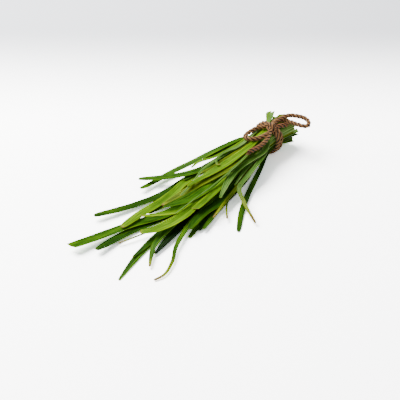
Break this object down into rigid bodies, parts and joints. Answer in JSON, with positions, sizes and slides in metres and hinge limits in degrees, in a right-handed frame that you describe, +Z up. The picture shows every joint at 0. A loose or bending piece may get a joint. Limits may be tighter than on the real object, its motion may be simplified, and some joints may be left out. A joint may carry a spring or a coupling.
{
  "type": "garlic chive bunch",
  "caption": "Bunch of long flat garlic chive leaves lying on a surface, fanned out at the tips and tied near the cut ends with a jute twine bow.",
  "frame": {"origin": "middle of the flat spot under the front turn of twine, on the surface that the bunch rests on", "axes": "+X along the bunch from the cut ends to the leaf tips, +Y to its front side, +Z up"},
  "size_m": [0.2047, 0.0928, 0.0277],
  "materials": {
    "leaf_dark": "dark green blade, satin, fine parallel veins",
    "leaf_mid": "mid green blade, satin, fine parallel veins",
    "leaf_young": "bright yellow-green blade, satin",
    "leaf_olive": "olive green blade, satin",
    "leaf_pale": "pale matt green underside of a blade",
    "jute_twine": "rough twisted jute fibre"
  },
  "bodies": {
    "root": {"leaf_01": "leaf_dark", "leaf_02": "leaf_mid", "leaf_03": "leaf_mid", "leaf_04": "leaf_dark", "leaf_05": "leaf_dark", "leaf_06": "leaf_mid", "leaf_07": "leaf_dark", "leaf_08": "leaf_dark", "leaf_09": "leaf_dark", "leaf_10": "leaf_dark", "leaf_11": "leaf_dark", "leaf_12": "leaf_pale", "leaf_13": "leaf_young", "leaf_14": "leaf_dark", "leaf_15": "leaf_mid", "leaf_16": "leaf_dark", "leaf_17": "leaf_dark", "leaf_18": "leaf_dark", "leaf_19": "leaf_mid", "leaf_20": "leaf_olive", "leaf_21": "leaf_dark", "leaf_22": "leaf_mid", "leaf_23": "leaf_mid", "leaf_24": "leaf_young", "leaf_25": "leaf_young", "leaf_26": "leaf_pale", "leaf_27": "leaf_mid", "leaf_28": "leaf_young", "leaf_29": "leaf_pale", "leaf_30": "leaf_pale", "leaf_31": "leaf_olive", "leaf_32": "leaf_pale", "leaf_33": "leaf_pale", "leaf_34": "leaf_young", "leaf_35": "leaf_olive", "leaf_36": "leaf_young", "leaf_37": "leaf_pale", "twine_tie": "jute_twine"}
  },
  "joints": []
}
